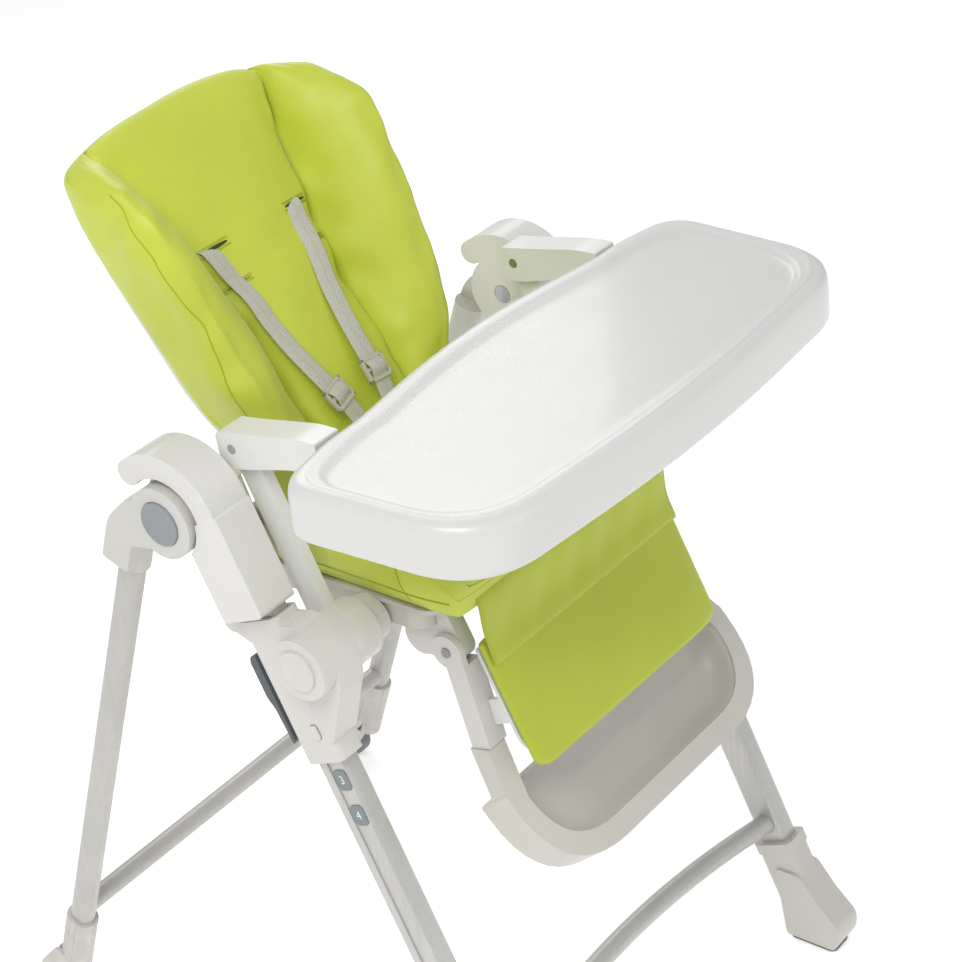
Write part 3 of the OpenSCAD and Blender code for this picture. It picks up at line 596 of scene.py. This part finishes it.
def back_cover():
    rows = []
    heights = [(9, 0.15), (12, 0.55), (17, 0.86), (24, 1)] + [(s, 1) for s in range(34, 362, 8)] + \
        [(367, 0.99), (373, 0.93), (379, 0.82), (384, 0.66), (387.5, 0.45), (390, 0.2)]
    for s, fat in heights:
        half = spline(back_profile(s), 61)
        ring = half + [(-x, n) for x, n in reversed(half[1:-1])]
        middle = -46
        row = []
        for x, n in ring:
            drop = 27 * (abs(x) / 168) ** 2.3 * step(150, 374, s)
            rise = -14 * (abs(x) / 168) ** 2 * (1 - step(8, 80, s)) * -1
            pull = 0.90 + 0.10 * min(1, fat * 1.2)
            row.append(back(x * pull, middle + (n - middle) * fat, s - drop + rise))
        rows.append(row)
    obj = loft("back_cover", rows, M["lime"])

    def pinned(co):
        x, n, s = back_local(co)
        crease = abs(abs(x) - at(CREASE, s)) < 5 and n > -72
        return 1.0 if crease or n > -30 or s < 20 else 0.0

    inflate(obj, pinned, 4.0, 7 * MM)
    wrinkle(obj, 6.5 * MM, 11, 1, lambda co: step(-34, -58, back_local(co)[1]))

    def near_seams(co):
        x, n, s = back_local(co)
        gap = min(abs(abs(x) - at(CREASE, s)), abs(abs(x) - at(RIDGE_X, s) - 4))
        return (1 - step(4, 26, gap)) * step(-34, -58, n)

    wrinkle(obj, 5.0 * MM, 32, 2, near_seams)

    def hollows(co):
        x, n, s = back_local(co)
        return (1 - step(0, 26, abs(s - 205 - 10 * math.sin(x / 30)))) * (1 - step(50, 95, abs(x))) + \
            0.8 * (1 - step(0, 20, abs(s - 150))) * step(15, 60, abs(x)) * (1 - step(60, 100, abs(x)))

    normals = [v.normal.copy() for v in obj.data.vertices]
    for v, nrm in zip(obj.data.vertices, normals):
        if back_local(v.co)[1] < -50:
            v.co -= nrm * (2.6 * MM * hollows(v.co))
    finish_mesh(obj)
    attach(obj, "backrest")
    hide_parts("backrest_pad", "backrest_wings")
    return obj


def skin_of(obj):
    bm = bmesh.new()
    bm.from_mesh(obj.data)
    bm.transform(obj.matrix_world)
    tree = BVHTree.FromBMesh(bm)
    bm.free()
    return tree


def front_of_back(tree, x, s, lift=0.0):
    """The point on the back cover's front at (x, s), lifted by lift mm, and its normal."""
    start = back(x, -260, s)
    way = (back(x, 0, s) - start).normalized()
    hit, nrm, _, _ = tree.ray_cast(start, way)
    if hit is None:
        hit, nrm = back(x, -67, s), -way
    if nrm.dot(way) > 0:
        nrm = -nrm
    return hit + nrm * lift * MM, nrm


def back_details(cover):
    tree = skin_of(cover)
    slits, stitches = [], []
    for side in (-1, 1):
        for s, open_ in ((236, 1.9), (195, 0.6)):
            ring, centre = [], front_of_back(tree, side * 58.5, s, 0.4)[0]
            for k in range(40):
                a = math.tau * k / 40
                x = side * 58.5 + 17 * math.cos(a)
                ring.append(front_of_back(tree, x, s + open_ * math.sin(a), 0.5)[0])
            slits.append((centre, ring))
            for k in range(34):
                t = k / 33
                for up in (-1, 1):
                    x = side * 58.5 - 18.5 + 37 * t
                    a, _ = front_of_back(tree, x, s + up * (open_ + 0.6), 0.3)
                    b, _ = front_of_back(tree, x + 0.5, s + up * (open_ + 3.0), 0.3)
                    stitches.append((a, b))
    # Dark discs over the slits are painted shade inside the openings.
    verts, faces = [], []
    for centre, ring in slits:
        base = len(verts)
        verts += [centre] + ring
        faces += [(base, base + 1 + k, base + 1 + (k + 1) % 40) for k in range(40)]
    openings = add_mesh("slit_shade_fill", verts, faces, M["slit"])
    verts, faces = [], []
    for a, b in stitches:
        d = (b - a).normalized()
        u = d.cross(Vector((1, 0, 0.2))).normalized() * 0.22 * MM
        w = d.cross(u).normalized() * 0.22 * MM
        base = len(verts)
        verts += [a + u, a + w, a - u, a - w, b + u, b + w, b - u, b - w]
        faces += [(base + k, base + (k + 1) % 4, base + 4 + (k + 1) % 4, base + 4 + k) for k in range(4)]
    thread = add_mesh("slit_stitching", verts, faces, M["thread"])
    seams = []
    for side, sx in SIDES:
        path = []
        for k in range(70):
            s = 24 + k * (322 - 24) / 69
            x, n = at(RIDGE_X, s) + 9.5, at(RIDGE_N, s) + 20
            start = back(sx * (x + 60), n, s)
            hit, _, _, _ = tree.ray_cast(start, Vector((-sx, 0, 0)))
            if hit is not None and hit.x * sx > 0.09:
                path.append(hit)
        if len(path) > 8:
            seams.append(tube(f"wing_seam_{side}", path, 0.7 * MM, M["thread"]))
    for o in (openings, thread, *seams):
        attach(o, "backrest")
    return tree


def shoulder_straps(tree):
    """Two ribbed tapes from the slits down to the ladder-lock adjusters."""
    straps, locks = [], []
    right = [(-67, 240), (-66, 234), (-62, 214), (-57, 190), (-55, 158), (-52, 125), (-46, 92), (-38, 62)]
    left = [(53, 240), (53, 234), (50, 214), (45, 190), (36, 158), (29, 125), (24, 92), (22, 64)]
    for side, sx, path in (("right", -1, right), ("left", 1, left)):
        lifts = [-4, 1.2, 2.2, 3, 4.5, 6.5, 9, 11]
        pts, across = [], []
        for k, (x, s, lift) in enumerate(spline([(x, s, h) for (x, s), h in zip(path, lifts)], 60)):
            p, nrm = front_of_back(tree, x, s, 0)
            p = p - (back(0, 1, 0) - back(0, 0, 0)) * lift
            pts.append(p)
            across.append(Vector((1, 0, 0)) + Vector((0, 0, 0.10 * sx)))
        strap = ribbon(f"shoulder_tape_{side}", pts, across, 21 * MM, 1.6 * MM, M["tape"])
        straps.append(strap)
        end, before = pts[-1], pts[-8]
        down = (end - before).normalized()
        out = Vector((1, 0, 0)).cross(down).normalized()
        if out.y > 0:
            out = -out
        aside = down.cross(out).normalized()
        place = Matrix((aside, down, out)).transposed().to_4x4()
        place.translation = end + out * 1.5 * MM + down * 8 * MM

        def put(v, place=place):
            return place @ v

        bars = [((-15, -13, -2.2), (15, -9, 2.8)), ((-15, 9, -2.2), (15, 13, 2.8)),
                ((-15, -13, -2.2), (-11.2, 13, 2.8)), ((11.2, -13, -2.2), (15, 13, 2.8)),
                ((-12, -2.4, -1.4), (12, 1.8, 3.6))]
        for k, (lo, hi) in enumerate(bars):
            locks.append(box_mesh(f"adjuster_{side}_{k}", lo, hi, M["harness"], 0.9, 3, put))
        over_bar = [(-12, -1.5), (-8, 2.4), (-4, 5.0), (0, 5.6), (4, 4.6), (8, 1.8), (13, 0), (24, -1.5),
                    (36, -4)]
        loop = [place @ Vector((0, y * MM, z * MM)) for y, z in over_bar]
        tail = ribbon(f"adjuster_tape_{side}", [Vector(p) for p in spline([tuple(p) for p in loop], 40)],
                      [aside] * 40, 20 * MM, 1.5 * MM, M["tape"])
        straps.append(tail)
    for o in straps:
        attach(o, "backrest")
    for o in locks:
        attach(o, "backrest")
    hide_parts("shoulder_straps")
    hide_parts("strap_adjusters")


# ---- seat -------------------------------------------------------------------------------

WING_Z = [(-234, 676), (-214, 687), (-196, 700), (-130, 722), (-60, 742), (-24, 742), (-10, 736)]


def seat_profile(y):
    zr = at(WING_Z, y)
    nose = step(-205, -232, y)
    top = 687 - 3 * step(-120, -20, y)
    return [(0, top + 1), (70, top + 1), (128, top), (141, top - 2), (147, top - 9 + 6 * nose),
            (151, top - 4 + 2 * nose), (154, (zr + top) / 2), (159, zr - 5), (167, zr), (175, zr - 5),
            (178, zr - 16), (179, (zr + 636) / 2 + 4),
            (178, 650), (176, 639), (170, 635), (120, 634.6), (0, 634.6)]


def seat_cover():
    rows = []
    stations = [(-229, 0.35), (-227.5, 0.62), (-225, 0.8), (-220, 0.92), (-212, 0.98)] + \
        [(y, 1) for y in range(-206, -22, 6)] + [(-18, 0.97), (-14, 0.88), (-11.5, 0.72), (-10, 0.4)]
    for y, fat in stations:
        half = spline(seat_profile(y), 55)
        ring = half + [(-x, z) for x, z in reversed(half[1:-1])]
        low = 634.6
        rows.append([Vector((x * (0.93 + 0.07 * fat) * MM, y * MM,
                             (low + 8 + (z - low - 8) * fat if z > low + 8 else z) * MM)) for x, z in ring])
    obj = loft("seat_cover", rows, M["lime"])

    def pinned(co):
        x, z = abs(co.x) / MM, co.z / MM
        return 1.0 if z < 642 or (abs(x - 147) < 5 and z < 690) else 0.0

    inflate(obj, pinned, 3.5, 5 * MM)
    wrinkle(obj, 3.0 * MM, 14, 5, lambda co: step(0.640, 0.662, co.z))
    wrinkle(obj, 1.6 * MM, 40, 6, lambda co: step(0.640, 0.662, co.z))
    finish_mesh(obj)
    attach(obj, "carriage")
    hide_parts("seat_cushion", "seat_wings")
    tree = skin_of(obj)
    made = []
    for side, sx in SIDES:
        path = []
        for k in range(60):
            y = (-221 + k * 3.3) * MM
            hit, _, _, _ = tree.ray_cast(Vector((sx * 0.26, y, 0.650)), Vector((-sx, 0, 0)))
            if hit is not None:
                path.append(hit)
        made.append(tube(f"seat_seam_{side}", path, 0.9 * MM, M["thread"]))
        path = []
        for k in range(24):
            z = (641 + k * 2.4) * MM
            start = Vector((sx * 0.26, -0.176 + (z - 0.641) * 0.25, z))
            hit, _, _, _ = tree.ray_cast(start, Vector((-sx, 0, 0)))
            if hit is not None:
                path.append(hit)
        made.append(tube(f"seat_corner_seam_{side}", path, 0.8 * MM, M["thread"]))
    for o in made:
        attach(o, "carriage")


def harness():
    top = 0.6905
    tapes = []
    for side, sx in SIDES:
        pts = spline([(sx * 0.146, -0.070, top - 0.010), (sx * 0.138, -0.071, top + 0.001),
                      (sx * 0.11, -0.072, top + 0.003), (sx * 0.07, -0.073, top + 0.004),
                      (sx * 0.026, -0.074, top + 0.005)], 30)
        tapes.append(ribbon(f"waist_tape_{side}", pts, [(0, 1, 0)] * 30, 24 * MM, 1.5 * MM, M["tape"]))
    pts = spline([(0, -0.176, top - 0.012), (0, -0.170, top), (0, -0.150, top + 0.002),
                  (0, -0.120, top + 0.003), (0, -0.090, top + 0.005)], 30)
    tapes.append(ribbon("crotch_tape", pts, [(1, 0, 0)] * 30, 24 * MM, 1.5 * MM, M["tape"]))
    for o in tapes:
        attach(o, "carriage")
    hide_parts("waist_straps")


# ---- leg rest ---------------------------------------------------------------------------

KNEE = Vector((0, -0.200, 0.584))
CALF = math.radians(25)


def knee(x, n, s):
    """A point of the leg rest's local frame, in mm: n points back and s up along the flap."""
    return KNEE + Vector((x, n * math.cos(CALF) + s * math.sin(CALF),
                          -n * math.sin(CALF) + s * math.cos(CALF))) * MM


def calf_cover():
    """The padded flap, with the strip of cover that carries on up to the seat's front edge."""
    rows = []
    for k in range(61):
        v = k / 60
        s = -2 - 138 * v
        w = 150 - 17 * max(0, (v - 0.895) / 0.105) ** 2.2
        fat = min(1, math.sqrt(max(0.02, 1 - max(0, (v - 0.96) / 0.04) ** 2)))
        belly = 2.0 * math.sin(math.pi * min(1, v * 1.02))
        ring = []
        for i in range(64):
            a = math.tau * i / 64
            cx, cy = math.cos(a), math.sin(a)
            x = w * (1 if cx > 0 else -1) * abs(cx) ** 0.16
            t = (1 if cy > 0 else -1) * abs(cy) ** 0.55
            middle, half = -29.2, (6.0 + (belly if t < 0 else 0) * (1 - (abs(x) / w) ** 3)) * fat
            ring.append(knee(x, middle + half * t, s))
        rows.append(ring)
    # The flap gets the darker, painted-shade copy of the lime upholstery.
    obj = loft("calf_cover", rows, M["calf"])
    wrinkle(obj, 2.4 * MM, 9, 8, lambda co: 1 - step(0.12, 0.15, abs(co.x)))
    finish_mesh(obj)
    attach(obj, "legrest")
    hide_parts("legrest_pad")
    # The strip over the knee joint.
    verts, faces, nx = [], [], 40
    line = [(-0.2230, 0.6480), (-0.2285, 0.6420), (-0.2312, 0.6330), (-0.2325, 0.6220),
            (-0.2334, 0.6110), (-0.2348, 0.6010), (-0.2373, 0.5913), (-0.2413, 0.5818), (-0.2436, 0.5745)]
    line = spline(line, 16)
    for thick in (0, -1.6 * MM):
        for j, (y, z) in enumerate(line):
            for i in range(nx + 1):
                x = (-149 + 298 * i / nx) * MM
                wave = 0.8 * MM * math.sin(i * 0.9 + j * 0.35) * math.sin(math.pi * j / (len(line) - 1))
                verts.append(Vector((x, y + wave + thick, z)))
    n = nx + 1
    rows_n = len(line)
    grid = rows_n * n
    for layer in (0, grid):
        for j in range(rows_n - 1):
            for i in range(nx):
                a = layer + j * n + i
                faces.append((a, a + 1, a + n + 1, a + n))
    edge = [i for i in range(n)] + [j * n + nx for j in range(1, rows_n)] + \
        [(rows_n - 1) * n + i for i in range(nx - 1, -1, -1)] + [j * n for j in range(rows_n - 2, 0, -1)]
    for a, b in zip(edge, edge[1:] + edge[:1]):
        faces.append((a, b, b + grid, a + grid))
    # The knee strip takes the same painted-shade copy of the lime upholstery.
    strip = add_mesh("calf_strip", verts, faces, M["calf"])
    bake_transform(strip)


# ---- footrest ---------------------------------------------------------------------------

TUB = Vector((0, -0.2402, 0.4889))
TUB_LEAN = math.radians(41)


def tub(x, n, s):
    """A point of the footrest's local frame, in mm: n runs from the rim down to the tub's floor."""
    return TUB + Vector((x, n * math.cos(TUB_LEAN) + s * math.sin(TUB_LEAN),
                         -n * math.sin(TUB_LEAN) + s * math.cos(TUB_LEAN))) * MM


def tub_ring(inset, depth, count=16):
    """The tub's outline, stepped in from its edge, at a depth below its rim."""
    half, low, reach = 183 - inset, -146 + inset, 92 - inset
    ring = []
    for corner, a, b, r in (((half, -40), (-1, 0), (0, -1), 4), ((half, low), (0, 1), (-1, 0), reach),
                            ((-half, low), (1, 0), (0, 1), reach), ((-half, -40), (0, -1), (1, 0), 4)):
        for k in range(count):
            t = k / (count - 1)
            x = corner[0] + r * ((1 - t) ** 2 * a[0] + t * t * b[0])
            z = corner[1] + r * ((1 - t) ** 2 * a[1] + t * t * b[1])
            ring.append(tub(x, depth, z))
    return ring


def footrest_dish():
    """The smooth hollow moulded inside the tub's rim."""
    rings = [(62, 35.6), (21.6, 35.6), (21.6, 3.4), (21.9, 2.6), (22.8, 3.4), (24.6, 9), (28, 17),
             (33, 24), (41, 30), (52, 33.4), (62, 34.4)]
    obj = loft("footrest_dish", [tub_ring(i, d) for i, d in rings], M["beige"])
    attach(obj, "footrest")


# ---- tray -------------------------------------------------------------------------------


def tray_ring(inset, z, count=20):
    """The tray's outline, stepped in from its edge, with rounded corners, at height z (mm)."""
    side, front, rear = 305 - inset, -382 + inset, -138 - inset
    pts = [(-side, rear - 14), (10 - side, front + 18), (0, front - 6), (side - 10, front + 18),
           (side, rear - 14), (side - 75, rear), (side - 115, rear), (0, rear + 26),
           (115 - side, rear), (75 - side, rear)]
    reach = [34, 72, 150, 72, 34, 20, 8, 120, 8, 20]
    out = []
    for i, b in enumerate(pts):
        a, c = Vector(pts[i - 1]), Vector(pts[(i + 1) % len(pts)])
        b = Vector(b)
        p, q = b + (a - b).normalized() * reach[i], b + (c - b).normalized() * reach[i]
        for k in range(count):
            t = k / (count - 1)
            w = (1 - t) * (1 - t) * p + 2 * t * (1 - t) * b + t * t * q
            out.append(Vector((w.x * MM, w.y * MM, z * MM)))
    return out


def tray_top():
    rings = [(30, 814.6), (3.2, 814.4), (3.2, 776), (2.6, 773.2), (1.6, 772.1), (0.7, 773), (0.3, 776),
             (0.5, 796), (0.9, 808), (1.6, 814), (3.0, 818.2), (5.2, 820.6), (8.4, 821.7), (12, 822),
             (19.5, 822), (21.4, 821.5), (22.8, 820.2),
             (24.2, 818.4), (26, 817.6), (29, 817.3), (36, 817.2), (44, 817.2)]
    obj = loft("tray_body", [tray_ring(i, z) for i, z in rings], M["tray"])
    made = [obj]
    for side, sx in SIDES:
        made.append(box_mesh(f"tray_channel_{side}", (sx * 213 - 14, -332, 779),
                             (sx * 213 + 14, -146, 814.8), M["tray"], 1.5))
    for o in made:
        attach(o, "tray")
    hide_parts("tray")


def tray_cover():
    rings = [(13.2, 822.5), (12.4, 823.2), (12.2, 826.6), (12.8, 827.6), (14.2, 827.7), (15.0, 826.8),
             (15.6, 824.6), (17.6, 824.0),
             (30, 823.9), (44, 823.9), (44, 822.6), (30, 822.6), (17, 822.5)]
    obj = loft("cover_sheet", [tray_ring(i, z) for i, z in rings], M["clear"], caps=False)
    bm = bmesh.new()
    bm.from_mesh(obj.data)
    n = len(tray_ring(0, 0))
    bm.verts.ensure_lookup_table()
    for r in (9, 10):
        bm.faces.new([bm.verts[r * n + i] for i in range(n)])
    for i in range(n):
        a, b = 12 * n, 0
        j = (i + 1) % n
        bm.faces.new((bm.verts[a + i], bm.verts[a + j], bm.verts[b + j], bm.verts[b + i]))
    for f in [f for f in bm.faces if len(f.verts) == 4 and {v.index // n for v in f.verts} == {9, 10}]:
        bm.faces.remove(f)
    bmesh.ops.recalc_face_normals(bm, faces=bm.faces)
    bm.to_mesh(obj.data)
    bm.free()
    for p in obj.data.polygons:
        p.use_smooth = len(p.vertices) == 4
    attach(obj, "tray_cover")
    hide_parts("tray_cover")


# ---- small details ----------------------------------------------------------------------


def leg_point(side, along, across=0.0, out=0.0):
    """A point on the outer face of a front leg: along the leg, across it, and out from it (mm)."""
    a = math.radians(23.1)
    sx = -1 if side == "right" else 1
    y = -337.5 + along * math.sin(a) + across * math.cos(a)
    z = along * math.cos(a) - across * math.sin(a)
    return Vector((sx * (262 + out), y, z)) * MM


def height_numbers():
    """Numbers 1 to 4 on the height badges."""
    made = []
    a = math.radians(23.1)
    for side, sx in SIDES:
        for k in range(4):
            curve = bpy.data.curves.new(f"number_{side}_{k + 1}", "FONT")
            curve.body, curve.size, curve.extrude = str(k + 1), 0.0125, 0.0001
            curve.align_x = curve.align_y = "CENTER"
            obj = bpy.data.objects.new(f"number_{side}_{k + 1}", curve)
            bpy.context.collection.objects.link(obj)
            up = Vector((0, math.sin(a), math.cos(a)))
            out = Vector((sx, 0, 0))
            right = up.cross(out)
            turn = Matrix((right, up, out)).transposed().to_4x4()
            turn.translation = leg_point(side, 594 - 38 * k, -6, -0.3)
            obj.matrix_world = turn
            curve.materials.append(M["digit"])
            made.append(obj)
    for o in made:
        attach(o, "front_frame")


dress_frame()
make_camera()
make_studio()
cover = back_cover()
tree = back_details(cover)
shoulder_straps(tree)
seat_cover()
harness()
calf_cover()
footrest_dish()
tray_top()
tray_cover()
height_numbers()
